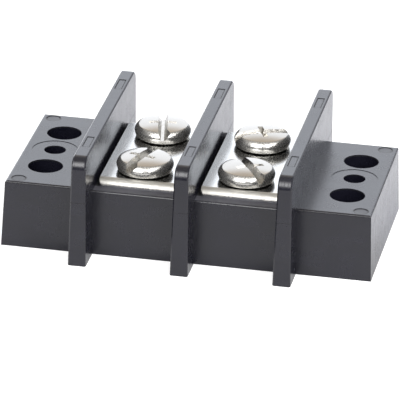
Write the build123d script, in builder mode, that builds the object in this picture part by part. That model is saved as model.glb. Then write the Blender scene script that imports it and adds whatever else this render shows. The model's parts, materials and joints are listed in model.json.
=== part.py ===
"""Two-pole barrier terminal block with double screw terminals.

A moulded base carries three upright barriers. Between each pair of barriers a plated
strip lies on the base, held by two tapped barrels pressed into it, and two
binding-head screws clamp the wires to the strip, one at the front and one at the back.

Sizes are millimetres. The origin is the middle of the underside, +X runs along the
block from pole to pole and +Z points up, the way the screws come out.
"""
import os
from math import radians, tan

from build123d import *

# Poles
pole_count = 2
pole_pitch = 14.29
screw_spread = 12.7

# Moulded body, measured at the underside
body_height = 9.55
body_depth = 26.1
end_plate_length = 11.7
body_edge_radius = 0.32
draft_angle = 2.3

# The seats of the strips lie a little below the end plates
seat_drop = 0.18

# Barriers, which taper in thickness from the underside to the top
barrier_height = 15.85
barrier_depth = 35.3
barrier_base_thickness = 2.5
barrier_top_thickness = 1.94
barrier_end_draft = 0.5
barrier_corner_radius = 1.65
barrier_edge_break = 0.17

# Mounting holes through the end plates, placed from the outer barriers' centre lines
mounting_hole_offset = 7.0
mounting_hole_spread = 12.4
mounting_hole_radius = 2.46
centre_hole_radius = 1.54

# Marks that the mould leaves on the top faces
mark_depth = 0.06
insert_mark_radius = 3.25
pin_mark_radius = 1.0
pin_mark_end_gap = 1.65
pin_mark_side_gap = 1.45
blade_mark_length = 3.6
blade_mark_width = 0.95
blade_mark_end_gap = 4.9

# Terminal strips
strip_thickness = 1.15
strip_setback = 1.83
strip_side_gap = 0.5
strip_end_radius = 0.9
strip_corner_radius = 0.5
barrel_radius = 2.9
barrel_length = 5.8
barrel_clearance = 0.05

# Terminal screws, a number 8 thread with 32 turns to the inch
screw_radius = 2.05
screw_length = 7.9
screw_point_chamfer = 0.4
thread_clearance = 0.05
bore_end_clearance = 0.5

# Binding head, from its bearing face up
head_bearing_radius = 3.62
head_radius = 3.99
head_band_bottom = 0.62
head_band_top = 1.1
head_rim_radius = 3.52
head_rim_height = 1.66
head_height = 2.14

# Driver recess, a tapered slot right across the head and a short cross over it
slot_depth = 1.38
slot_top_width = 1.42
slot_floor_width = 0.62
slot_flare_width = 2.1
slot_flare_length = 1.3
cross_span = 4.1
cross_width = 0.8
cross_floor_span = 1.5
cross_floor_width = 0.55
cross_depth = 1.75
recess_overrun = 0.8

# How far each screw was turned when it was tightened: the plan angle of its slot, and
# how far off the head's middle its recess was punched, pole by pole, front and back
screw_settings = [
    {"front": (72.0, (-0.45, 0.1)), "back": (100.0, (0.0, 0.0))},
    {"front": (121.0, (0.5, 0.0)), "back": (23.0, (0.0, 0.0))},
]

# Worked out from the sizes above
outer_barrier_x = pole_count * pole_pitch / 2
body_length = 2 * (outer_barrier_x + end_plate_length)
barrier_places = [pole_pitch * (i - pole_count / 2) for i in range(pole_count + 1)]
pole_places = [pole_pitch * (i + 0.5 - pole_count / 2) for i in range(pole_count)]
screw_sides = {"front": -screw_spread / 2, "back": screw_spread / 2}
screw_places = [(x, y) for x in pole_places for y in screw_sides.values()]
end_hole_x = outer_barrier_x + mounting_hole_offset
seat_height = body_height - seat_drop
strip_top = seat_height + strip_thickness
tap_radius = screw_radius + thread_clearance
bore_depth = screw_length - strip_thickness + bore_end_clearance
dome_rise = head_height - head_rim_height
dome_radius = (head_rim_radius**2 + dome_rise**2) / (2 * dome_rise)


def drawn_in(height):
    """How far the draft has brought a face of the body in at this height."""
    return height * tan(radians(draft_angle))


def barrier_thickness(height):
    """Thickness of a barrier at this height above the underside."""
    share = height / barrier_height
    return barrier_base_thickness + (barrier_top_thickness - barrier_base_thickness) * share


top_half_length = body_length / 2 - drawn_in(body_height)
top_half_depth = body_depth / 2 - drawn_in(body_height)
strip_length = body_depth - 2 * (drawn_in(seat_height) + strip_setback)
strip_width = pole_pitch - barrier_thickness(seat_height) - 2 * strip_side_gap

# One barrier: its side outline, cut to a wedge seen from the front
with BuildPart() as barrier:
    with BuildSketch(Plane.YZ) as side_outline:
        Trapezoid(barrier_depth, barrier_height, 90 - barrier_end_draft, align=(Align.CENTER, Align.MIN))
        fillet(side_outline.vertices().group_by(Axis.Y)[-1], barrier_corner_radius)
    extrude(amount=barrier_base_thickness, both=True)
    with BuildSketch(Plane.XZ):
        with BuildLine():
            Polyline(
                (-barrier_base_thickness / 2, 0),
                (barrier_base_thickness / 2, 0),
                (barrier_top_thickness / 2, barrier_height),
                (-barrier_top_thickness / 2, barrier_height),
                close=True,
            )
        make_face()
    extrude(amount=barrier_depth, both=True, mode=Mode.INTERSECT)
    side_faces = barrier.faces().sort_by(Axis.X)
    rim_edges = (side_faces[0].edges() + side_faces[-1].edges()).filter_by(lambda e: e.center().Z > barrier_edge_break)
    chamfer(rim_edges, barrier_edge_break)

# The moulded base, in one piece with its barriers
with BuildPart() as base_block:
    with BuildSketch():
        Rectangle(body_length, body_depth)
    extrude(amount=body_height, taper=draft_angle)
    fillet(base_block.faces().sort_by(Axis.Z)[-1].edges(), body_edge_radius)

    # Between the outer barriers the body is lower, with the same rounded edges
    with BuildSketch():
        Rectangle(2 * outer_barrier_x, body_depth)
    extrude(amount=body_height, mode=Mode.SUBTRACT)
    with BuildSketch(Plane.YZ) as pole_outline:
        Trapezoid(body_depth, seat_height, 90 - draft_angle, align=(Align.CENTER, Align.MIN))
        fillet(pole_outline.vertices().group_by(Axis.Y)[-1], body_edge_radius)
    extrude(amount=outer_barrier_x, both=True)
    with Locations(*[(x, 0) for x in barrier_places]):
        add(barrier.part)

    # Blind bores that take the strips' barrels and the screws' points
    with BuildSketch(Plane.XY.offset(seat_height)):
        with Locations(*screw_places):
            Circle(barrel_radius + barrel_clearance)
    extrude(amount=-bore_depth, mode=Mode.SUBTRACT)

    # Four mounting holes and two smaller ones between them, right through
    with BuildSketch():
        with GridLocations(2 * end_hole_x, mounting_hole_spread, 2, 2):
            Circle(mounting_hole_radius)
        with GridLocations(2 * end_hole_x, 0, 2, 1):
            Circle(centre_hole_radius)
    extrude(amount=body_height, mode=Mode.SUBTRACT)

    # Mould marks: a round insert at each centre hole and an ejector pin in each corner
    with BuildSketch(Plane.XY.offset(body_height)):
        with GridLocations(2 * end_hole_x, 0, 2, 1):
            Circle(insert_mark_radius)
        pin_x = 2 * (top_half_length - pin_mark_end_gap)
        pin_y = 2 * (top_half_depth - pin_mark_side_gap)
        with GridLocations(pin_x, pin_y, 2, 2):
            Circle(pin_mark_radius)
    extrude(amount=-mark_depth, mode=Mode.SUBTRACT)

    # Ejector blade marks near both ends of each barrier's top
    with BuildSketch(Plane.XY.offset(barrier_height)):
        blade_y = barrier_depth - 2 * blade_mark_end_gap - blade_mark_length
        with GridLocations(pole_pitch, blade_y, pole_count + 1, 2):
            Rectangle(blade_mark_width, blade_mark_length)
    extrude(amount=-mark_depth, mode=Mode.SUBTRACT)

# A terminal strip, centred on its pole: a bar with sheared ends and two tapped barrels
with BuildPart() as strip_shape:
    with BuildSketch(Plane.YZ) as bar_outline:
        with Locations((0, seat_height)):
            Rectangle(strip_length, strip_thickness, align=(Align.CENTER, Align.MIN))
        fillet(bar_outline.vertices().group_by(Axis.Y)[-1], strip_end_radius)
    extrude(amount=strip_width / 2, both=True)
    with BuildSketch():
        RectangleRounded(strip_width, strip_length, strip_corner_radius)
    extrude(amount=strip_top, mode=Mode.INTERSECT)
    with BuildSketch(Plane.XY.offset(seat_height)):
        with GridLocations(0, screw_spread, 1, 2):
            Circle(barrel_radius)
    extrude(amount=-barrel_length)
    with Locations(*[(0, y, strip_top) for y in screw_sides.values()]):
        Hole(tap_radius)

# A terminal screw, standing at the origin with its bearing face at z = 0
with BuildPart() as screw_shape:
    with BuildSketch(Plane.XZ):
        with BuildLine():
            Polyline(
                (0, head_height),
                (0, -screw_length),
                (screw_radius - screw_point_chamfer, -screw_length),
                (screw_radius, screw_point_chamfer - screw_length),
                (screw_radius, 0),
                (head_bearing_radius, 0),
                (head_radius, head_band_bottom),
                (head_radius, head_band_top),
                (head_rim_radius, head_rim_height),
            )
            RadiusArc((head_rim_radius, head_rim_height), (0, head_height), -dome_radius)
        make_face()
    revolve(axis=Axis.Z)


def recess_width(floor_width, top_width, depth, height):
    """Width of a tapered recess at this height, where its top width is at the head's top."""
    share = (height - head_height) / depth + 1
    return floor_width + (top_width - floor_width) * share


# The driver slot along X, which widens where it leaves the rim
recess_top = head_height + recess_overrun
with BuildPart() as slot_cut:
    flare_start = head_radius - slot_flare_length
    slot_end = head_radius + recess_overrun
    for x, width_at_top in (
        (-slot_end, slot_flare_width),
        (-flare_start, slot_top_width),
        (flare_start, slot_top_width),
        (slot_end, slot_flare_width),
    ):
        with BuildSketch(Plane.YZ.offset(x)):
            slot_floor_height = head_height - slot_depth
            mouth_width = recess_width(slot_floor_width, width_at_top, slot_depth, recess_top)
            with BuildLine():
                Polyline(
                    (-slot_floor_width / 2, slot_floor_height),
                    (slot_floor_width / 2, slot_floor_height),
                    (mouth_width / 2, recess_top),
                    (-mouth_width / 2, recess_top),
                    close=True,
                )
            make_face()
    loft(ruled=True)

# The short cross over the slot, along Y, which narrows downwards
with BuildPart() as cross_cut:
    with BuildSketch(Plane.XY.offset(head_height - cross_depth)):
        Rectangle(cross_floor_width, cross_floor_span)
    with BuildSketch(Plane.XY.offset(recess_top)):
        mouth_width = recess_width(cross_floor_width, cross_width, cross_depth, recess_top)
        mouth_span = recess_width(cross_floor_span, cross_span, cross_depth, recess_top)
        Rectangle(mouth_width, mouth_span)
    loft()

terminal_screws = {}
for pole, x in enumerate(pole_places):
    for side, y in screw_sides.items():
        slot_angle, punched_off = screw_settings[pole % len(screw_settings)][side]
        recess_place = Location((x + punched_off[0], y + punched_off[1], strip_top), (0, 0, slot_angle))
        with BuildPart() as screw:
            with Locations((x, y, strip_top)):
                add(screw_shape.part)
            with Locations(recess_place):
                add(slot_cut.part, mode=Mode.SUBTRACT)
                add(cross_cut.part, mode=Mode.SUBTRACT)
        terminal_screws[f"terminal_screw_{pole + 1}_{side}"] = screw

terminal_strips = {}
for pole, x in enumerate(pole_places):
    with BuildPart() as strip:
        with Locations((x, 0, 0)):
            add(strip_shape.part)
    terminal_strips[f"terminal_strip_{pole + 1}"] = strip

os.makedirs("parts", exist_ok=True)
pieces = {"base_block": base_block, **terminal_strips, **terminal_screws}
for node, piece in pieces.items():
    piece.part.label = node
    export_step(piece.part, f"parts/{node}.step")
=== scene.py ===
"""Looks of a two-pole barrier terminal block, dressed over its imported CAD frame.

The moulding is satin black thermoplastic. The strips between its barriers and the
binding-head screws on them are nickel plated, and they mirror the barriers and each
other. Sizes in the classes are millimetres, apart from the lamps', and meshes are in
metres.
"""
from __future__ import annotations

import json
import logging
import math
from collections.abc import Iterable
from dataclasses import dataclass
from enum import Enum, IntEnum

import bmesh
import bpy
from mathutils import Matrix, Vector

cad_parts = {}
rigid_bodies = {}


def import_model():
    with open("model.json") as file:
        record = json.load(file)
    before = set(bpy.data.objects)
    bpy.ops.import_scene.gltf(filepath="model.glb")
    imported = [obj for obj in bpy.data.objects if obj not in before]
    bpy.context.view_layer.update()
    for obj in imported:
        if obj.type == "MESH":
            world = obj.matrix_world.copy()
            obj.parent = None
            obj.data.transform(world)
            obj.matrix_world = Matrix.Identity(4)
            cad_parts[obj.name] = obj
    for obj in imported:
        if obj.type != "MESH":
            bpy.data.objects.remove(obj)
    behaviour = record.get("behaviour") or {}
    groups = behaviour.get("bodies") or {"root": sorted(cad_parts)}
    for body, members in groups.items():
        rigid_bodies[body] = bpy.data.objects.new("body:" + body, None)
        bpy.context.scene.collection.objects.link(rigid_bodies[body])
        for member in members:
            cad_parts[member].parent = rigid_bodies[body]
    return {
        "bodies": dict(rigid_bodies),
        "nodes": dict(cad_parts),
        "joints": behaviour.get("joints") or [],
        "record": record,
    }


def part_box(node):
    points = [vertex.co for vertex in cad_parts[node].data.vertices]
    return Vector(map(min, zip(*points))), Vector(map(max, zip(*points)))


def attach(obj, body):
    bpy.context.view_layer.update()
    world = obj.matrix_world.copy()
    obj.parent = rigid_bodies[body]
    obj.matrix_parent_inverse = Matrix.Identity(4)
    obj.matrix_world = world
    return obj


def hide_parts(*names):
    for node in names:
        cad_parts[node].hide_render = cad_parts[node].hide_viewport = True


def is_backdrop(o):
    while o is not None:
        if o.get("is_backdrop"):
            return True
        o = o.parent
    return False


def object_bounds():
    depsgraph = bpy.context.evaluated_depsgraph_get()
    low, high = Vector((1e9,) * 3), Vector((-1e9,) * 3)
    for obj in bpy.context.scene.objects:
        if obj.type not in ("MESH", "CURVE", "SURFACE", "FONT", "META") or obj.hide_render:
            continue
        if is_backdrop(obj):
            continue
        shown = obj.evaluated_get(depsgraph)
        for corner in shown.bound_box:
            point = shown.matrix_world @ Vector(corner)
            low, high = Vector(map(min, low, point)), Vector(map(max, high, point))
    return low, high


Span = tuple[float, float]
Triple = tuple[float, float, float]
Colour = tuple[float, float, float, float]
# Position along a ramp and hex colour of each stop, in rising order.
Stops = tuple[tuple[float, str], ...]
# For each step its result's name, its operation and its values. A value can be an earlier result's name.
Steps = tuple[tuple[object, ...], ...]

MM = 0.001
WHITE = "#ffffff"
# Points nearer than this, in metres, are one point.
SAME_POINT = 1e-7
# Most of a noise texture's values lie in this span, and each finer layer has this share of the last.
NOISE_SPAN = (0.3, 0.7)
NOISE_ROUGHNESS = 0.55
# Inputs of a Mix node by number, because its numbers and its colours share their names.
FACTOR, NUMBER_A, NUMBER_B, COLOUR_A, COLOUR_B = 0, 2, 3, 6, 7
log = logging.getLogger("terminal_block")


def hex_colour(code: str) -> Colour:
    """Turns an sRGB hex colour into Blender's linear values.

    Args:
        code: Six hex digits after a hash sign.

    Returns:
        Linear red, green, blue and an alpha of one.
    """
    channels = [int(code[i:i + 2], 16) / 255 for i in (1, 3, 5)]
    linear = [c / 12.92 if c <= 0.04045 else ((c + 0.055) / 1.055) ** 2.4 for c in channels]
    return (*linear, 1.0)


def metres(*sizes: float) -> tuple[float, ...]:
    """Turns millimetres into metres."""
    return tuple(size * MM for size in sizes)


def direction(azimuth: float, elevation: float) -> Vector:
    """Points from the block out to a camera or a lamp.

    Args:
        azimuth: Degrees to the right of the block's front.
        elevation: Degrees above the floor.

    Returns:
        A vector of length one.
    """
    turn, lift = math.radians(azimuth), math.radians(elevation)
    return Vector((math.sin(turn) * math.cos(lift), -math.cos(turn) * math.cos(lift), math.sin(lift)))


def emptied(owner: bpy.types.Material | bpy.types.World) -> bpy.types.NodeTree:
    """Gives a new material or world an empty node tree.

    Args:
        owner: The material or world.

    Returns:
        Its node tree.
    """
    owner.use_nodes = True
    owner.node_tree.nodes.clear()
    return owner.node_tree


def add_node(
    tree: bpy.types.NodeTree,
    kind: str,
    settings: dict[str, object] | None = None,
    inputs: dict[str | int, object] | None = None,
) -> bpy.types.Node:
    """Adds one shader node with its settings, and links or sets its inputs.

    Args:
        tree: The node tree that gets the node.
        kind: The node's type, such as ShaderNodeBump.
        settings: Values for the node's own properties.
        inputs: For each input socket a value, an output socket to link, or a node whose first
            output in use is linked.

    Returns:
        The new node.
    """
    node = tree.nodes.new(kind)
    for name, value in (settings or {}).items():
        setattr(node, name, value)
    for name, value in (inputs or {}).items():
        if isinstance(value, bpy.types.Node):
            value = next(socket for socket in value.outputs if socket.enabled)
        if isinstance(value, bpy.types.NodeSocket):
            tree.links.new(value, node.inputs[name])
        else:
            node.inputs[name].default_value = value
    return node


def map_inputs(value: object, start: Span, end: Span = (0.0, 1.0)) -> dict[str, object]:
    """Lists the inputs with which a Map Range node takes a value from one span to another.

    Args:
        value: The node or socket that holds the value.
        start: The span that the value has.
        end: The span that it gets.

    Returns:
        The inputs by name.
    """
    return {"Value": value, "From Min": start[0], "From Max": start[1], "To Min": end[0], "To Max": end[1]}


def ramp_stops(node: bpy.types.Node, stops: Stops) -> bpy.types.Node:
    """Sets a colour ramp's stops.

    Args:
        node: The colour ramp node.
        stops: The stops.

    Returns:
        The same node.
    """
    elements = node.color_ramp.elements
    while len(elements) < len(stops):
        elements.new(1.0)
    for element, (position, code) in zip(elements, stops):
        element.position = position
        element.color = hex_colour(code)
    return node


def object_noise(tree: bpy.types.NodeTree, grain: Triple, detail: float = 2.0) -> bpy.types.Node:
    """Adds a noise texture whose grain has a real size along each axis.

    Args:
        tree: The node tree that gets the texture.
        grain: The size of one grain along X, Y and Z, in millimetres.
        detail: How many finer layers the noise has.

    Returns:
        The noise texture node.
    """
    place = add_node(tree, "ShaderNodeTexCoord")
    scale = tuple(1 / size for size in metres(*grain))
    mapping = add_node(tree, "ShaderNodeMapping", inputs={"Vector": place.outputs["Object"], "Scale": scale})
    return add_node(
        tree,
        "ShaderNodeTexNoise",
        inputs={"Vector": mapping, "Scale": 1.0, "Detail": detail, "Roughness": NOISE_ROUGHNESS},
    )


def add_relief(
    tree: bpy.types.NodeTree, layers: Iterable[tuple[bpy.types.Node, float, object]]
) -> bpy.types.Node:
    """Raises patterns out of a surface, one over another.

    Args:
        tree: The material's node tree.
        layers: For each pattern its noise, its height in millimetres and its strength.

    Returns:
        The node whose normal holds every pattern.
    """
    inputs = {}
    for noise, height, strength in layers:
        inputs |= {"Height": noise, "Distance": height * MM, "Strength": strength}
        inputs["Normal"] = add_node(tree, "ShaderNodeBump", inputs=inputs)
    return inputs["Normal"]


@dataclass(frozen=True)
class MouldedThermoplastic:
    """Black polyester moulded in a polished steel tool, with a little mould grain.

    It gives a dark body with a soft, slightly bluish sheen at low angles.
    """

    name: str = "black_moulded_polyester"
    colours: Stops = ((0.35, "#0f0f18"), (0.65, "#13131d"))
    ior: float = 1.58
    roughness: Span = (0.22, 0.3)
    flow_size: Triple = (4.0, 3.0, 2.0)
    flow_polish: Span = (0.28, 0.52)
    streak_size: Triple = (0.3, 0.3, 8.0)
    streak_polish: float = 0.2
    # Spark grain is about 0.05 mm. It is drawn coarser, so that the render shows it.
    grain_size: float = 0.18
    grain_height: float = 0.0014
    # Waves along the rounded edges, which were polished by hand in the tool.
    corner_size: Triple = (0.5, 6.0, 6.0)
    corner_height: float = 0.09
    corner_slant: Span = (0.12, 0.5)
    # Waves on the faces that slid out of the tool, at full depth only past the end plates' tops.
    draw_size: Triple = (9.0, 1.3, 12.0)
    draw_height: float = 0.06
    inner_draw: float = 0.16
    plate_end: Span = (24.0, 25.5)
    # The seats under the strips are in deep shade and are painted near black as painted shade, and the
    # ledges at both ends of each are matt and painted paler as painted sheen. The ejector outlines take the
    # same near black as marks.
    painted_shade_and_mark_colour: str = "#050506"
    gap_roughness: float = 0.9
    seat_height: float = 9.37
    seat_band: float = 0.03
    painted_sheen_ledge_colour: str = "#414148"
    ledge_roughness: float = 0.6
    ledge_start: float = 10.9
    ledge_end: float = 12.48
    # Each ejector blade left an outline on a barrier: its place along Y, its width and its length.
    barrier_pitch: float = 14.29
    barrier_top: float = 15.79
    top_band: float = 0.02
    blade_mark: Triple = (10.95, 0.95, 3.6)
    # Each ejector pin left a ring on an end plate: its place along X and Y, and its radius.
    plate_top: float = 9.5
    plate_band: float = 0.1
    pin_mark: Triple = (23.96, 11.22, 1.0)
    pin_darker: float = 0.22
    pin_line_darker: float = 0.5
    mark_line: float = 0.13
    mark_wear: Span = (0.2, 0.9)

    def build(self) -> bpy.types.Material:
        """Builds the node material.

        Returns:
            The material.
        """
        material = bpy.data.materials.new(self.name)
        tree = emptied(material)
        place = add_node(tree, "ShaderNodeTexCoord")
        axes = add_node(tree, "ShaderNodeSeparateXYZ", inputs={"Vector": place.outputs["Object"]})
        facing = add_node(tree, "ShaderNodeSeparateXYZ", inputs={"Vector": place.outputs["Normal"]})
        flow = object_noise(tree, self.flow_size, detail=3.0)
        streaks = object_noise(tree, self.streak_size)
        even = add_node(tree, "ShaderNodeMapRange", inputs=map_inputs(flow, NOISE_SPAN, self.flow_polish))
        streaked = {0: streaks, 1: self.streak_polish, 2: even}
        polish = add_node(tree, "ShaderNodeMath", {"operation": "MULTIPLY_ADD"}, streaked)
        wear = add_node(tree, "ShaderNodeMapRange", inputs=map_inputs(polish, NOISE_SPAN, self.mark_wear))
        found: dict[str, bpy.types.Node] = {}
        for name, operation, *values in self.seat_steps(axes) + self.mark_steps(axes, wear):
            inputs = {i: found[value] if isinstance(value, str) else value for i, value in enumerate(values)}
            found[name] = add_node(tree, "ShaderNodeMath", {"operation": operation}, inputs)
        tint = ramp_stops(add_node(tree, "ShaderNodeValToRGB", inputs={"Fac": flow}), self.colours)
        rough = add_node(tree, "ShaderNodeMapRange", inputs=map_inputs(polish, NOISE_SPAN, self.roughness))
        # The seats are painted near black as painted shade, the ledges paler as painted sheen, and the
        # ejector outlines near black as marks.
        for mask, code, roughness in (
            (found["seat"], self.painted_shade_and_mark_colour, self.gap_roughness),
            (found["ledge"], self.painted_sheen_ledge_colour, self.ledge_roughness),
            (found["mark"], self.painted_shade_and_mark_colour, self.gap_roughness),
        ):
            colours = {FACTOR: mask, COLOUR_A: tint, COLOUR_B: hex_colour(code)}
            tint = add_node(tree, "ShaderNodeMix", {"data_type": "RGBA"}, colours)
            rough = add_node(
                tree, "ShaderNodeMix", inputs={FACTOR: mask, NUMBER_A: rough, NUMBER_B: roughness}
            )
        normal = self.relief(tree, facing, found["x"])
        shader = add_node(
            tree,
            "ShaderNodeBsdfPrincipled",
            inputs={"Base Color": tint, "Roughness": rough, "IOR": self.ior, "Normal": normal},
        )
        add_node(tree, "ShaderNodeOutputMaterial", inputs={"Surface": shader})
        return material

    def relief(
        self, tree: bpy.types.NodeTree, facing: bpy.types.Node, from_middle: bpy.types.Node
    ) -> bpy.types.Node:
        """Raises the mould grain, the waves along rounded edges and those on the sides.

        Args:
            tree: The material's node tree.
            facing: The node that splits the surface's normal into X, Y and Z.
            from_middle: The node that holds a point's distance from the block's middle along X.

        Returns:
            The node whose normal holds them.
        """
        depth = map_inputs(from_middle, metres(*self.plate_end), (self.inner_draw, 1.0))
        deeper = add_node(tree, "ShaderNodeMapRange", inputs=depth)
        side = add_node(tree, "ShaderNodeMath", {"operation": "ABSOLUTE"}, {0: facing.outputs["X"]})
        on_side = add_node(tree, "ShaderNodeMath", {"operation": "MULTIPLY"}, {0: side, 1: deeper})
        both_ways = {0: facing.outputs["Y"], 1: facing.outputs["Z"]}
        slant = add_node(tree, "ShaderNodeMath", {"operation": "MULTIPLY"}, both_ways)
        slant = add_node(tree, "ShaderNodeMath", {"operation": "ABSOLUTE"}, {0: slant})
        at_corner = add_node(tree, "ShaderNodeMapRange", inputs=map_inputs(slant, self.corner_slant))
        return add_relief(
            tree,
            (
                (object_noise(tree, (self.grain_size,) * 3, detail=1.0), self.grain_height, 1.0),
                (object_noise(tree, self.corner_size), self.corner_height, at_corner),
                (object_noise(tree, self.draw_size, detail=3.0), self.draw_height, on_side),
            ),
        )

    def seat_steps(self, axes: bpy.types.Node) -> Steps:
        """Lists the arithmetic that finds the strips' seats and the ledges at both ends of each.

        Args:
            axes: The node that splits a point's place into X, Y and Z.

        Returns:
            The steps. The results called seat and ledge are one there and zero elsewhere.
        """
        return (
            ("seat", "COMPARE", axes.outputs["Z"], self.seat_height * MM, self.seat_band * MM),
            ("y", "ABSOLUTE", axes.outputs["Y"]),
            ("outside", "GREATER_THAN", "y", self.ledge_start * MM),
            ("inside", "LESS_THAN", "y", self.ledge_end * MM),
            ("between", "MULTIPLY", "outside", "inside"),
            ("ledge", "MULTIPLY", "seat", "between"),
        )

    def mark_steps(self, axes: bpy.types.Node, wear: bpy.types.Node) -> Steps:
        """Lists the arithmetic that finds the fine outlines of the ejector blades and pins.

        Args:
            axes: The node that splits a point's place into X, Y and Z.
            wear: The node that says how strongly the outlines show.

        Returns:
            The steps, which follow those of the seats. The result called mark is up to one on
            the outlines and zero elsewhere.
        """
        blade_y, blade_width, blade_length = metres(*self.blade_mark)
        pin_x, pin_y, pin_radius = metres(*self.pin_mark)
        return (
            ("x", "ABSOLUTE", axes.outputs["X"]),
            ("from_outer", "SUBTRACT", "x", self.barrier_pitch * MM),
            ("from_outer", "ABSOLUTE", "from_outer"),
            ("from_barrier", "MINIMUM", "x", "from_outer"),
            ("past_side", "SUBTRACT", "from_barrier", blade_width / 2),
            ("from_blade", "SUBTRACT", "y", blade_y),
            ("from_blade", "ABSOLUTE", "from_blade"),
            ("past_end", "SUBTRACT", "from_blade", blade_length / 2),
            ("blade", "MAXIMUM", "past_side", "past_end"),
            ("blade", "COMPARE", "blade", 0.0, self.mark_line / 2 * MM),
            ("on_barrier", "GREATER_THAN", axes.outputs["Z"], (self.barrier_top - self.top_band) * MM),
            ("blade", "MULTIPLY", "blade", "on_barrier"),
            ("across", "SUBTRACT", "x", pin_x),
            ("across", "MULTIPLY", "across", "across"),
            ("along", "SUBTRACT", "y", pin_y),
            ("along", "MULTIPLY", "along", "along"),
            ("from_pin", "ADD", "across", "along"),
            ("from_pin", "SQRT", "from_pin"),
            ("ring", "COMPARE", "from_pin", pin_radius, self.mark_line * MM),
            ("ring", "MULTIPLY", "ring", self.pin_line_darker),
            ("disc", "LESS_THAN", "from_pin", pin_radius),
            ("disc", "MULTIPLY", "disc", self.pin_darker),
            ("pin", "MAXIMUM", "ring", "disc"),
            ("on_plate", "COMPARE", axes.outputs["Z"], self.plate_top * MM, self.plate_band * MM),
            ("pin", "MULTIPLY", "pin", "on_plate"),
            ("mark", "MAXIMUM", "blade", "pin"),
            ("mark", "MULTIPLY", "mark", wear),
        )


@dataclass(frozen=True)
class NickelPlate:
    """Bright nickel over brass or steel, barrel plated, so it is smooth but not flat.

    It gives a warm white mirror with soft waves and a trace of grain. Real plating's grain
    is a few hundredths of a millimetre, and is drawn coarser, so that the render shows it.
    """

    name: str
    colour: str
    roughness: Span = (0.07, 0.16)
    wave_size: Triple = (1.6, 1.6, 1.6)
    wave_height: float = 0.003
    grain_size: Triple = (0.12, 0.12, 0.12)
    grain_height: float = 0.0008
    metallic: float = 1.0

    def tint(self, tree: bpy.types.NodeTree) -> bpy.types.Node | Colour:
        """The metal's colour, which is the same all over."""
        return hex_colour(self.colour)

    def build(self) -> bpy.types.Material:
        """Builds the node material.

        Returns:
            The material.
        """
        material = bpy.data.materials.new(self.name)
        tree = emptied(material)
        wave = object_noise(tree, self.wave_size)
        grain = object_noise(tree, self.grain_size)
        normal = add_relief(tree, ((wave, self.wave_height, 1.0), (grain, self.grain_height, 1.0)))
        rough = add_node(tree, "ShaderNodeMapRange", inputs=map_inputs(grain, NOISE_SPAN, self.roughness))
        shader = add_node(
            tree,
            "ShaderNodeBsdfPrincipled",
            inputs={
                "Base Color": self.tint(tree),
                "Metallic": self.metallic,
                "Roughness": rough,
                "Normal": normal,
            },
        )
        add_node(tree, "ShaderNodeOutputMaterial", inputs={"Surface": shader})
        return material


@dataclass(frozen=True)
class ShearedPlate(NickelPlate):
    """Nickel over a sheared end: drawn over and burnished at the top, torn and dull at the foot.

    It gives a bright band with a ragged lower edge. Below it the colour is painted darker, partly for the
    torn zone's dullness and partly as painted shade.
    """

    # Below a ragged line the colour is painted darker: partly the torn zone's own dullness, partly painted
    # shade.
    torn_and_painted_shade_colour: str = "#8a898d"
    torn_height: float = 9.68
    torn_swing: float = 0.15
    torn_size: Triple = (0.16, 0.5, 0.35)

    def tint(self, tree: bpy.types.NodeTree) -> bpy.types.Node | Colour:
        """The plate's colour, painted darker below a ragged line, partly for the torn zone and partly as
        painted shade.

        Args:
            tree: The material's node tree.

        Returns:
            The node that holds the colour.
        """
        place = add_node(tree, "ShaderNodeTexCoord")
        axes = add_node(tree, "ShaderNodeSeparateXYZ", inputs={"Vector": place.outputs["Object"]})
        rag = object_noise(tree, self.torn_size)
        swing = metres(self.torn_height - self.torn_swing, self.torn_height + self.torn_swing)
        line = add_node(tree, "ShaderNodeMapRange", inputs=map_inputs(rag, NOISE_SPAN, swing))
        heights = {0: axes.outputs["Z"], 1: line}
        above = add_node(tree, "ShaderNodeMath", {"operation": "GREATER_THAN"}, heights)
        colours = {FACTOR: above, COLOUR_A: hex_colour(self.torn_and_painted_shade_colour), COLOUR_B: hex_colour(self.colour)}
        return add_node(tree, "ShaderNodeMix", {"data_type": "RGBA"}, colours)


def make_piece(
    name: str, shape: bmesh.types.BMesh, materials: Iterable[bpy.types.Material]
) -> bpy.types.Object:
    """Turns a finished bmesh into an object at the origin.

    Args:
        name: The piece's name.
        shape: The bmesh, which is freed.
        materials: The piece's materials, in slot order.

    Returns:
        The new object.
    """
    mesh = bpy.data.meshes.new(name)
    shape.to_mesh(mesh)
    shape.free()
    for material in materials:
        mesh.materials.append(material)
    piece = bpy.data.objects.new(name, mesh)
    bpy.context.collection.objects.link(piece)
    return piece


class Operation(Enum):
    """How a second shape changes a piece."""

    CUT = "DIFFERENCE"
    JOIN = "UNION"
    KEEP_COMMON = "INTERSECT"


def combine(piece: bpy.types.Object, tool: bmesh.types.BMesh, operation: Operation) -> None:
    """Cuts a shape out of a piece, joins it on, or keeps what both share, for good.

    Args:
        piece: The object that is changed.
        tool: The other shape, which is freed.
        operation: What to do with it.
    """
    other = make_piece("tool", tool, [])
    modifier = piece.modifiers.new("combine", "BOOLEAN")
    modifier.object = other
    modifier.operation = operation.value
    modifier.solver = "EXACT"
    depsgraph = bpy.context.evaluated_depsgraph_get()
    mesh = bpy.data.meshes.new_from_object(piece.evaluated_get(depsgraph))
    piece.modifiers.clear()
    old = piece.data
    piece.data = mesh
    mesh.name = piece.name
    bpy.data.meshes.remove(old)
    bpy.data.objects.remove(other)


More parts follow.
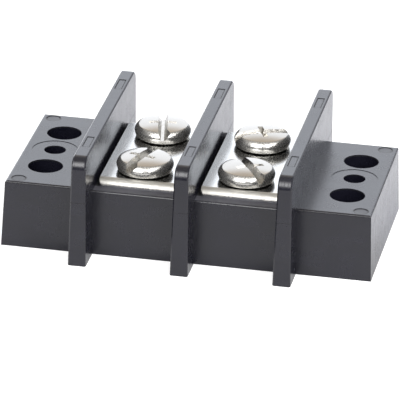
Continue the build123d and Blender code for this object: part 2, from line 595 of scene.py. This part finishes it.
def smooth_by_angle(piece: bpy.types.Object, degrees: float, merge: float) -> None:
    """Shades a piece smooth, with sharp edges where its faces meet at a steeper angle.

    Args:
        piece: The object.
        degrees: The angle past which an edge is sharp.
        merge: Points nearer than this, in millimetres, become one.
    """
    shape = bmesh.new()
    shape.from_mesh(piece.data)
    bmesh.ops.remove_doubles(shape, verts=shape.verts, dist=merge * MM)
    bmesh.ops.dissolve_degenerate(shape, edges=shape.edges, dist=merge * MM / 2)
    for face in shape.faces:
        face.smooth = True
    for edge in shape.edges:
        edge.smooth = len(edge.link_faces) == 2 and edge.calc_face_angle(0) < math.radians(degrees)
    shape.to_mesh(piece.data)
    shape.free()


def arc_through(first: Vector, middle: Vector, last: Vector, steps: int) -> list[Vector]:
    """Finds points along the arc through three points, both ends included.

    Args:
        first: One end.
        middle: A point on the arc.
        last: The other end.
        steps: Number of stretches.

    Returns:
        The points.
    """
    a, b = middle - first, last - first
    across = b.y * a.length_squared - a.y * b.length_squared
    along = a.x * b.length_squared - b.x * a.length_squared
    centre = first + Vector((across, along)) / (2 * (a.x * b.y - a.y * b.x))
    radius = (first - centre).length
    start = math.atan2(*(first - centre).yx)
    sweep = math.remainder(math.atan2(*(last - centre).yx) - start, 2 * math.pi)
    angles = [start + sweep * i / steps for i in range(steps + 1)]
    return [centre + radius * Vector((math.cos(t), math.sin(t))) for t in angles]


def lathe(profile: Iterable[Span], segments: int) -> bmesh.types.BMesh:
    """Spins a half outline of radius and height round the Z axis.

    Args:
        profile: Radius and height of each point, in millimetres.
        segments: Number of faces round.

    Returns:
        The closed shape, in metres.
    """
    shape = bmesh.new()
    verts = [shape.verts.new((r * MM, 0, z * MM)) for r, z in profile]
    edges = [shape.edges.new(pair) for pair in zip(verts, verts[1:])]
    bmesh.ops.spin(
        shape,
        geom=verts + edges,
        cent=(0, 0, 0),
        axis=(0, 0, 1),
        angle=2 * math.pi,
        steps=segments,
        use_merge=True,
    )
    bmesh.ops.remove_doubles(shape, verts=shape.verts, dist=SAME_POINT)
    bmesh.ops.recalc_face_normals(shape, faces=shape.faces)
    return shape


class ScrewFace(IntEnum):
    """A screw's finishes, in the order of its material slots."""

    DOME = 0
    RIM = 1
    RECESS = 2


@dataclass(frozen=True)
class Tightened:
    """How one screw was left: the plan angle of its slot, and its recess off the middle."""

    slot_angle: float
    punched_off: Span = (0.0, 0.0)


@dataclass
class TerminalScrew:
    """A nickel-plated binding-head screw with a combined slot and cross recess."""

    node: str
    setting: Tightened
    bearing_radius: float = 3.0
    foot_radius: float = 3.8
    foot_height: float = 0.21
    widest_radius: float = 3.99
    band_bottom: float = 0.85
    band_top: float = 1.12
    rim_radius: float = 3.45
    rim_height: float = 1.885
    rim_bulge: float = 0.08
    edge_round: float = 0.1
    head_height: float = 2.14
    shank_length: float = 7.9
    thread_radius: float = 2.04
    thread_depth: float = 0.42
    thread_pitch: float = 0.794
    point_chamfer: float = 0.4
    slot_depth: float = 1.34
    slot_top_width: float = 1.36
    slot_floor_width: float = 0.46
    slot_flare_width: float = 3.0
    slot_flare_length: float = 1.5
    cross_span: float = 4.1
    cross_width: float = 0.75
    cross_floor_span: float = 2.2
    cross_floor_width: float = 0.14
    cross_depth: float = 0.75
    # How far a recess's cutting shape reaches past the head.
    overrun: float = 0.8
    segments: int = 128
    dome_steps: int = 22
    bulge_steps: int = 6
    edge_steps: int = 4
    rows_per_turn: int = 12
    crease_angle: float = 28.0
    weld: float = 0.012

    def profile(self) -> list[Span]:
        """Works out the half outline of the head and shank, from the dome's middle to the point.

        Returns:
            Radius and height of each point.
        """
        rim = Vector((self.rim_radius, self.rim_height))
        crown = Vector((0.0, self.head_height))
        dome_mid = Vector((self.rim_radius / 2, self.head_height - (self.head_height - self.rim_height) / 4))
        band_top = Vector((self.widest_radius, self.band_top))
        band_bottom = Vector((self.widest_radius, self.band_bottom))
        foot = Vector((self.foot_radius, self.foot_height))
        bearing = Vector((self.bearing_radius, 0.0))
        bulge = (rim + band_top) / 2 + self.rim_bulge * Vector((1, 1)).normalized()
        dome = arc_through(crown, dome_mid, rim, self.dome_steps)
        rounding = arc_through(rim, bulge, band_top, self.bulge_steps)
        rim_edge = self.eased(dome[-2], rim, rounding[1])
        wall_top = self.eased(rounding[-2], band_top, band_bottom)
        wall_bottom = self.eased(band_top, band_bottom, foot)
        foot_edge = self.eased(band_bottom, foot, bearing)
        turns = (self.shank_length - self.point_chamfer) / self.thread_pitch
        rows = round(turns * self.rows_per_turn)
        thread_end = -self.shank_length + self.point_chamfer
        shank = [(self.thread_radius, thread_end * i / rows) for i in range(rows + 1)]
        point = [(self.thread_radius - self.point_chamfer, -self.shank_length), (0.0, -self.shank_length)]
        side = rim_edge + rounding[1:-1] + wall_top + wall_bottom + foot_edge + [bearing]
        return [tuple(p) for p in dome[:-1] + side] + shank + point

    def eased(self, before: Vector, corner: Vector, after: Vector) -> list[Vector]:
        """Rounds a corner of the outline over.

        Args:
            before: The point before the corner.
            corner: The corner.
            after: The point after it.

        Returns:
            The points that take the corner's place.
        """
        start = corner + min(self.edge_round, (before - corner).length / 2) * (before - corner).normalized()
        end = corner + min(self.edge_round, (after - corner).length / 2) * (after - corner).normalized()
        steps = [i / self.edge_steps for i in range(self.edge_steps + 1)]
        return [start * (1 - t) ** 2 + corner * 2 * t * (1 - t) + end * t**2 for t in steps]

    def cut_thread(self, shape: bmesh.types.BMesh) -> None:
        """Draws the shank's rows in along a helix, deepest half way between crests.

        Args:
            shape: The turned screw, in metres.
        """
        pitch, crest, depth = metres(self.thread_pitch, self.thread_radius, self.thread_depth)
        thread_end = (-self.shank_length + self.point_chamfer) * MM - 10 * SAME_POINT
        for vert in shape.verts:
            radius = vert.co.xy.length
            if not thread_end < vert.co.z < -pitch / 2 or radius < crest / 2:
                continue
            turn = math.atan2(vert.co.y, vert.co.x) / (2 * math.pi)
            phase = (vert.co.z / pitch - turn) % 1
            vert.co.xy *= (radius - depth * (1 - abs(2 * phase - 1))) / radius

    def slot_tool(self) -> bmesh.types.BMesh:
        """Makes the shape that cuts the tapered slot, flared where it leaves the rim.

        Returns:
            The shape, in its place on the screw.
        """
        reach = self.widest_radius + self.overrun
        floor = self.head_height - self.slot_depth
        top = self.head_height + self.overrun
        rise = (top - floor) / self.slot_depth
        flare_start = self.widest_radius - self.slot_flare_length
        shape = bmesh.new()
        bmesh.ops.create_cube(shape, size=2)
        bmesh.ops.scale(shape, verts=shape.verts, vec=(reach, 1, 1))
        for x in (-flare_start, flare_start):
            everything = shape.verts[:] + shape.edges[:] + shape.faces[:]
            bmesh.ops.bisect_plane(shape, geom=everything, plane_co=(x, 0, 0), plane_no=(1, 0, 0))
        for vert in shape.verts:
            outward = max(0.0, (abs(vert.co.x) - flare_start) / (reach - flare_start))
            mouth = self.slot_top_width + (self.slot_flare_width - self.slot_top_width) * outward
            top_width = self.slot_floor_width + (mouth - self.slot_floor_width) * rise
            upper = vert.co.z > 0
            vert.co.y *= (top_width if upper else self.slot_floor_width) / 2
            vert.co.z = top if upper else floor
        return self.placed(shape)

    def cross_tool(self) -> bmesh.types.BMesh:
        """Makes the shape that cuts the short cross, narrower towards its floor.

        Returns:
            The shape, in its place on the screw.
        """
        floor = self.head_height - self.cross_depth
        top = self.head_height + self.overrun
        rise = (top - floor) / self.cross_depth
        top_width = self.cross_floor_width + (self.cross_width - self.cross_floor_width) * rise
        top_span = self.cross_floor_span + (self.cross_span - self.cross_floor_span) * rise
        shape = bmesh.new()
        bmesh.ops.create_cube(shape, size=1)
        for vert in shape.verts:
            upper = vert.co.z > 0
            vert.co.x *= top_width if upper else self.cross_floor_width
            vert.co.y *= top_span if upper else self.cross_floor_span
            vert.co.z = top if upper else floor
        return self.placed(shape)

    def placed(self, shape: bmesh.types.BMesh) -> bmesh.types.BMesh:
        """Turns a recess's shape to the slot's angle and moves it off the middle.

        Args:
            shape: The shape, in millimetres.

        Returns:
            The same shape, in metres.
        """
        turned = Matrix.Rotation(math.radians(self.setting.slot_angle), 4, "Z")
        moved = Matrix.Translation((*self.setting.punched_off, 0))
        bmesh.ops.transform(shape, matrix=Matrix.Scale(MM, 4) @ moved @ turned, verts=shape.verts)
        bmesh.ops.recalc_face_normals(shape, faces=shape.faces)
        for face in shape.faces:
            face.material_index = ScrewFace.RECESS
        return shape

    def build(self, finishes: dict[ScrewFace, bpy.types.Material]) -> bpy.types.Object:
        """Builds the screw where its CAD node stands.

        Args:
            finishes: The screw's finishes, in slot order.

        Returns:
            The screw's object.
        """
        low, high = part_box(self.node)
        rim_height, rim_radius = metres(self.rim_height, self.rim_radius)
        shape = lathe(self.profile(), self.segments)
        self.cut_thread(shape)
        for face in shape.faces:
            middle = face.calc_center_median()
            on_side = 0 < middle.z < rim_height and middle.xy.length > rim_radius
            face.material_index = ScrewFace.RIM if on_side else ScrewFace.DOME
        screw = make_piece(f"{self.node}_plated", shape, finishes.values())
        combine(screw, self.slot_tool(), Operation.CUT)
        combine(screw, self.cross_tool(), Operation.CUT)
        smooth_by_angle(screw, self.crease_angle, self.weld)
        bearing = low.z + self.shank_length * MM
        screw.data.transform(Matrix.Translation(((low.x + high.x) / 2, (low.y + high.y) / 2, bearing)))
        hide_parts(self.node)
        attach(screw, self.node.replace("terminal_", ""))
        return screw


@dataclass
class TerminalStrip:
    """A nickel-plated brass strip with sheared, rounded ends and two tapped barrels."""

    node: str
    thickness: float = 1.15
    # Each end's round starts this far inside the node's end and would run out past it. The
    # shear takes a share of what lies past it.
    end_start: float = 0.9
    end_round: float = 1.15
    end_cut: float = 0.17
    under_seat: float = 0.4
    corner_round: float = 0.5
    screw_spread: float = 12.7
    barrel_radius: float = 2.9
    tap_radius: float = 2.1
    countersink: float = 0.3
    end_steps: int = 20
    corner_steps: int = 6
    segments: int = 64
    # A face whose normal leans further than this along Y is part of the sheared end.
    end_lean: float = 0.05
    crease_angle: float = 28.0
    weld: float = 0.002

    def build(self, plate: bpy.types.Material, sheared: bpy.types.Material) -> bpy.types.Object:
        """Builds the strip where its CAD node lies.

        Args:
            plate: The strip's finish.
            sheared: The rougher finish of its ends.

        Returns:
            The strip's object.
        """
        low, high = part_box(self.node)
        middle = (low + high) / 2
        plate_low = Vector((low.x, low.y, high.z - self.thickness * MM))
        past_end = Vector((0, (self.end_round - self.end_start) * MM, 0))
        under = Vector((0, 0, self.under_seat * MM))
        bar = self.bar(plate_low - past_end - under, high + past_end)
        strip = make_piece(f"{self.node}_plated", bar, [plate, sheared])
        left = past_end * (1 - self.end_cut)
        combine(strip, self.plan(plate_low - left, high + left), Operation.KEEP_COMMON)
        for side in (-1, 1):
            y = middle.y / MM + side * self.screw_spread / 2
            self.add_barrel(strip, middle.x / MM, y, low.z / MM, high.z / MM)
        smooth_by_angle(strip, self.crease_angle, self.weld)
        for face in strip.data.polygons:
            at_end = abs(face.center.y - middle.y) > (high.y - middle.y) - self.end_start * MM
            face.material_index = int(at_end and abs(face.normal.y) > self.end_lean)
        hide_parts(self.node)
        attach(strip, "block")
        return strip

    def block_between(self, low: Vector, high: Vector) -> bmesh.types.BMesh:
        """Makes a plain block between two corners.

        Args:
            low: The lowest corner, in metres.
            high: The highest corner.

        Returns:
            The shape.
        """
        shape = bmesh.new()
        bmesh.ops.create_cube(shape, size=1)
        bmesh.ops.scale(shape, verts=shape.verts, vec=high - low)
        bmesh.ops.translate(shape, verts=shape.verts, vec=(low + high) / 2)
        return shape

    def round_edges(
        self, shape: bmesh.types.BMesh, edges: list[bmesh.types.BMEdge], radius: float, steps: int
    ) -> None:
        """Rounds edges of a shape.

        Args:
            shape: The shape.
            edges: The edges.
            radius: The rounding's radius, in millimetres.
            steps: How many faces it has.
        """
        bmesh.ops.bevel(
            shape, geom=edges, offset=radius * MM, segments=steps, profile=0.5, affect="EDGES", material=-1
        )

    def bar(self, low: Vector, high: Vector) -> bmesh.types.BMesh:
        """Makes the bar with the ends of its top rounded down.

        Args:
            low: Its lowest corner, in metres.
            high: Its highest corner.

        Returns:
            The shape.
        """
        shape = self.block_between(low, high)
        top_edges = [e for e in shape.edges if all(v.co.z > (low.z + high.z) / 2 for v in e.verts)]
        ends = [e for e in top_edges if abs(e.verts[0].co.y - e.verts[1].co.y) < MM]
        self.round_edges(shape, ends, self.end_round, self.end_steps)
        return shape

    def plan(self, low: Vector, high: Vector) -> bmesh.types.BMesh:
        """Makes the bar's plan with its corners rounded, taller than the bar and level with its foot.

        Args:
            low: The bar's lowest corner, in metres.
            high: Its highest corner.

        Returns:
            The shape.
        """
        over = Vector((0, 0, self.thickness * MM))
        shape = self.block_between(low, high + over)
        upright = [e for e in shape.edges if abs(e.verts[0].co.z - e.verts[1].co.z) > MM]
        self.round_edges(shape, upright, self.corner_round, self.corner_steps)
        return shape

    def add_barrel(self, strip: bpy.types.Object, x: float, y: float, low: float, top: float) -> None:
        """Adds one tapped barrel under the strip and opens its hole. All sizes are millimetres.

        Args:
            strip: The strip's object.
            x: The barrel's place along X.
            y: The barrel's place along Y.
            low: Height of the barrel's lower end.
            top: Height of the strip's top face.
        """
        into_plate = top - self.thickness / 2
        barrel = [(0, low), (self.barrel_radius, low), (self.barrel_radius, into_plate), (0, into_plate)]
        sink = self.countersink
        hole = [
            (0, low - sink),
            (self.tap_radius, low - sink),
            (self.tap_radius, top - sink),
            (self.tap_radius + 2 * sink, top + sink),
            (0, top + sink),
        ]
        for profile, operation in ((barrel, Operation.JOIN), (hole, Operation.CUT)):
            shape = lathe(profile, self.segments)
            bmesh.ops.translate(shape, verts=shape.verts, vec=(*metres(x, y), 0))
            combine(strip, shape, operation)


@dataclass
class MouldedBase:
    """The black moulding, which keeps its CAD shape."""

    node: str = "base_block"

    def dress(self, frame: dict, plastic: bpy.types.Material) -> bpy.types.Object:
        """Gives the CAD node its finish.

        Args:
            frame: The loaded frame.
            plastic: The moulding's finish.

        Returns:
            The CAD node's object.
        """
        base = frame["nodes"][self.node]
        for slot in base.material_slots:
            slot.material = plastic
        return base


@dataclass(frozen=True)
class Softbox:
    """A large soft lamp that faces the block, with a brighter core in front. Sizes are metres."""

    name: str
    azimuth: float
    width: float
    height: float = 1.4
    elevation: float = 36.0
    distance: float = 1.6
    radiance: float = 2.4
    core_share: float = 0.7
    core_height: float = 0.75
    core_elevation: float = 33.0
    core_nearer: float = 0.95
    core_radiance: float = 4.6

    def build(self, camera_azimuth: float) -> None:
        """Stands the lamp and its core to the right of the camera's azimuth.

        Args:
            camera_azimuth: Degrees from the block's front to the camera.
        """
        core_width, core_distance = self.core_share * self.width, self.core_nearer * self.distance
        for name, width, height, elevation, distance, radiance in (
            (self.name, self.width, self.height, self.elevation, self.distance, self.radiance),
            (f"{self.name}_core", core_width, self.core_height, self.core_elevation, core_distance,
             self.core_radiance),
        ):
            data = bpy.data.lights.new(name, "AREA")
            data.shape = "RECTANGLE"
            data.size = width
            data.size_y = height
            data.energy = radiance * math.pi * width * height
            towards = direction(camera_azimuth + self.azimuth, elevation)
            lamp = bpy.data.objects.new(name, data)
            lamp.location = towards * distance
            lamp.rotation_mode = "QUATERNION"
            lamp.rotation_quaternion = (-towards).to_track_quat("-Z", "Y")
            lamp.visible_camera = False
            bpy.context.collection.objects.link(lamp)


@dataclass
class Studio:
    """White paper under the block, a pale sky, two soft lamps and the camera."""

    azimuth: float = 10.088
    elevation: float = 23.216
    roll: float = 1.586
    target: Triple = (-0.42, 0.0, 3.996)
    distance: float = 663.35
    lens: float = 425.86
    sensor: float = 36.0
    clip_metres: Span = (0.01, 100.0)
    floor_half: float = 6000.0
    floor_drop: float = 0.02
    fibre_size: Triple = (8.0, 8.0, 8.0)
    paper: str = "#dcdcdc"
    paper_roughness: Span = (0.0, 0.2)
    # Only the camera sees paper in front of the table's edge. What shines sees a dark floor there.
    dark_floor: str = "#303030"
    table_front: float = -66.0
    table_fade: float = 12.0
    camera_glow: float = 0.5
    glow_tint: str = "#e8ecff"
    glow: Span = (0.08, 0.52)
    glow_fade: float = 15.0
    # Colours by height, from the horizon to overhead, of the sweep and of the room around it.
    sweep_colours: Stops = (
        (0.0, "#e6ebf3"), (0.3, "#e9eef7"), (0.46, "#e9eef7"), (0.59, "#b4aca3"), (0.81, "#a29c95"),
        (0.93, "#7f7d7a"), (1.0, "#8e8b87"),
    )
    room_colours: Stops = ((0.0, "#707074"), (0.5, "#707070"), (0.93, "#7f7d7a"), (1.0, "#8e8b87"))
    sky_strength: float = 2.45
    sweep_half_angle: float = 27.0
    sweep_fade: float = 5.0
    lamps: tuple[Softbox, ...] = (
        Softbox("left_softbox", azimuth=-29.0, width=1.2),
        Softbox("right_softbox", azimuth=41.0, width=1.6),
    )

    def place_camera(self) -> None:
        """Puts the camera at the photograph's viewing angle."""
        back = direction(self.azimuth, self.elevation)
        data = bpy.data.cameras.new("camera")
        data.lens = self.lens
        data.sensor_width = self.sensor
        data.clip_start, data.clip_end = self.clip_metres
        camera = bpy.data.objects.new("camera", data)
        bpy.context.collection.objects.link(camera)
        camera.rotation_mode = "QUATERNION"
        spin = Matrix.Rotation(math.radians(-self.roll), 3, -back).to_quaternion()
        camera.rotation_quaternion = spin @ (-back).to_track_quat("-Z", "Y")
        camera.location = (Vector(self.target) + back * self.distance) * MM
        bpy.context.scene.camera = camera

    def build_floor(self) -> None:
        """Lays white paper just under the block, white to the camera apart from shadow."""
        material = bpy.data.materials.new("white_paper")
        tree = emptied(material)
        smooth = {"interpolation_type": "SMOOTHSTEP"}
        path = add_node(tree, "ShaderNodeLightPath")
        camera_ray, glossy_ray, clear_ray = (
            path.outputs[name] for name in ("Is Camera Ray", "Is Glossy Ray", "Is Transmission Ray")
        )
        place = add_node(tree, "ShaderNodeTexCoord")
        axes = add_node(tree, "ShaderNodeSeparateXYZ", inputs={"Vector": place.outputs["Object"]})
        along = axes.outputs["Y"]
        edge = metres(self.table_front - self.table_fade, self.table_front)
        on_table = add_node(tree, "ShaderNodeMapRange", smooth, map_inputs(along, edge))
        pale = add_node(tree, "ShaderNodeMath", {"operation": "MAXIMUM"}, {0: camera_ray, 1: on_table})
        colours = {FACTOR: pale, COLOUR_A: hex_colour(self.dark_floor), COLOUR_B: hex_colour(self.paper)}
        colour = add_node(tree, "ShaderNodeMix", {"data_type": "RGBA"}, colours)
        fibre = object_noise(tree, self.fibre_size, detail=3.0)
        fibrous = map_inputs(fibre, NOISE_SPAN, self.paper_roughness)
        rough = add_node(tree, "ShaderNodeMapRange", inputs=fibrous)
        paper = add_node(tree, "ShaderNodeBsdfDiffuse", inputs={"Color": colour, "Roughness": rough})
        seen = add_node(tree, "ShaderNodeMath", {"operation": "MAXIMUM"}, {0: camera_ray, 1: glossy_ray})
        seen = add_node(tree, "ShaderNodeMath", {"operation": "MAXIMUM"}, {0: seen, 1: clear_ray})
        fade = metres(-self.glow_fade, self.glow_fade)
        glow_here = add_node(tree, "ShaderNodeMapRange", smooth, map_inputs(along, fade, self.glow))
        lift = add_node(tree, "ShaderNodeMath", {"operation": "MULTIPLY"}, {0: seen, 1: glow_here})
        lift = add_node(tree, "ShaderNodeMath", {"operation": "MULTIPLY"}, {0: lift, 1: pale})
        seen_glow = {0: camera_ray, 1: self.camera_glow}
        to_camera = add_node(tree, "ShaderNodeMath", {"operation": "MULTIPLY"}, seen_glow)
        lift = add_node(tree, "ShaderNodeMath", {"operation": "MAXIMUM"}, {0: lift, 1: to_camera})
        colours = {FACTOR: camera_ray, COLOUR_A: hex_colour(self.glow_tint), COLOUR_B: hex_colour(WHITE)}
        colour = add_node(tree, "ShaderNodeMix", {"data_type": "RGBA"}, colours)
        glow = add_node(tree, "ShaderNodeEmission", inputs={"Color": colour, "Strength": lift})
        both = add_node(tree, "ShaderNodeAddShader", inputs={0: paper, 1: glow})
        add_node(tree, "ShaderNodeOutputMaterial", inputs={"Surface": both})
        shape = bmesh.new()
        bmesh.ops.create_grid(shape, x_segments=1, y_segments=1, size=self.floor_half * MM)
        bmesh.ops.translate(shape, verts=shape.verts, vec=(0, 0, -self.floor_drop * MM))
        make_piece("paper_floor", shape, [material])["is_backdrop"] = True

    def build_sky(self) -> None:
        """Builds a white sweep behind the block, as wide as it needs to be, in a dim room."""
        world = bpy.data.worlds.new("sweep_and_room")
        tree = emptied(world)
        place = add_node(tree, "ShaderNodeTexCoord")
        turned = add_node(
            tree,
            "ShaderNodeMapping",
            {"vector_type": "VECTOR"},
            {"Vector": place.outputs["Generated"], "Rotation": (0, 0, -math.radians(self.azimuth))},
        )
        axes = add_node(tree, "ShaderNodeSeparateXYZ", inputs={"Vector": turned})
        sweep, room = (
            ramp_stops(add_node(tree, "ShaderNodeValToRGB", inputs={"Fac": axes.outputs["Z"]}), stops)
            for stops in (self.sweep_colours, self.room_colours)
        )
        plan = {0: axes.outputs["X"], 1: axes.outputs["Y"]}
        aside = add_node(tree, "ShaderNodeMath", {"operation": "ARCTAN2"}, plan)
        aside = add_node(tree, "ShaderNodeMath", {"operation": "ABSOLUTE"}, {0: aside})
        edge = tuple(math.radians(self.sweep_half_angle + more) for more in (0, self.sweep_fade))
        outside = add_node(
            tree, "ShaderNodeMapRange", {"interpolation_type": "SMOOTHSTEP"}, map_inputs(aside, edge)
        )
        colours = {FACTOR: outside, COLOUR_A: sweep, COLOUR_B: room}
        colour = add_node(tree, "ShaderNodeMix", {"data_type": "RGBA"}, colours)
        lit = {"Color": colour, "Strength": self.sky_strength}
        light = add_node(tree, "ShaderNodeBackground", inputs=lit)
        white = add_node(tree, "ShaderNodeBackground", inputs={"Color": hex_colour(WHITE), "Strength": 1.0})
        path = add_node(tree, "ShaderNodeLightPath")
        seen = {0: path.outputs["Is Camera Ray"], 1: light, 2: white}
        mix = add_node(tree, "ShaderNodeMixShader", inputs=seen)
        add_node(tree, "ShaderNodeOutputWorld", inputs={"Surface": mix})
        bpy.context.scene.world = world

    def build(self) -> None:
        """Builds the whole studio."""
        self.build_floor()
        self.build_sky()
        for lamp in self.lamps:
            lamp.build(self.azimuth)
        self.place_camera()
        bpy.context.scene.view_settings.view_transform = "Standard"


SCREWS = {
    "terminal_screw_1_front": Tightened(72.0, (-0.45, 0.1)),
    "terminal_screw_1_back": Tightened(100.0),
    "terminal_screw_2_front": Tightened(121.0, (0.5, 0.0)),
    "terminal_screw_2_back": Tightened(23.0),
}
# Rolled strip keeps faint waves under its plating, and mirrors the barriers softly.
STRIP_PLATE = NickelPlate("nickel_plated_brass", "#cfcfcd", roughness=(0.14, 0.25), wave_height=0.004)
SHEARED_END = ShearedPlate(
    "nickel_plated_sheared_brass",
    "#c3c1bc",
    roughness=(0.42, 0.54),
    grain_size=(0.2, 0.3, 0.3),
    grain_height=0.04,
)
SCREW_FINISHES = {
    # Pressed in a polished die, so it mirrors the room sharply. Its colour is painted darker than the other
    # nickel's, as painted shade under the bright sky.
    ScrewFace.DOME: NickelPlate("nickel_plated_steel", "#a6a29b"),
    # Spread freely as the head was struck, so it glitters with a coarse grain.
    ScrewFace.RIM: NickelPlate(
        "nickel_plated_headed_rim",
        "#bfbdb9",
        roughness=(0.16, 0.34),
        grain_size=(0.22, 0.22, 0.22),
        grain_height=0.018,
        metallic=0.9,
    ),
    # Scored by the punch, so its walls scatter the light that they gather.
    ScrewFace.RECESS: NickelPlate(
        "nickel_plated_recess",
        "#bebbb5",
        roughness=(0.2, 0.4),
        grain_size=(0.3, 0.3, 0.3),
        grain_height=0.02,
    ),
}


def main() -> None:
    """Loads the frame, builds every piece and reports each one."""
    logging.basicConfig(level=logging.INFO, format="%(message)s")
    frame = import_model()
    before = [corner.copy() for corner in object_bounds()]
    base = MouldedBase().dress(frame, MouldedThermoplastic().build())
    log.info("dressed %s", base.name)
    strip_plate, sheared_end = STRIP_PLATE.build(), SHEARED_END.build()
    for pole in (1, 2):
        strip = TerminalStrip(f"terminal_strip_{pole}").build(strip_plate, sheared_end)
        log.info("built %s", strip.name)
    finishes = {face: finish.build() for face, finish in SCREW_FINISHES.items()}
    for node, setting in SCREWS.items():
        screw = TerminalScrew(node, setting).build(finishes)
        log.info("built %s", screw.name)
    Studio().build()


if __name__ == "__main__":
    main()
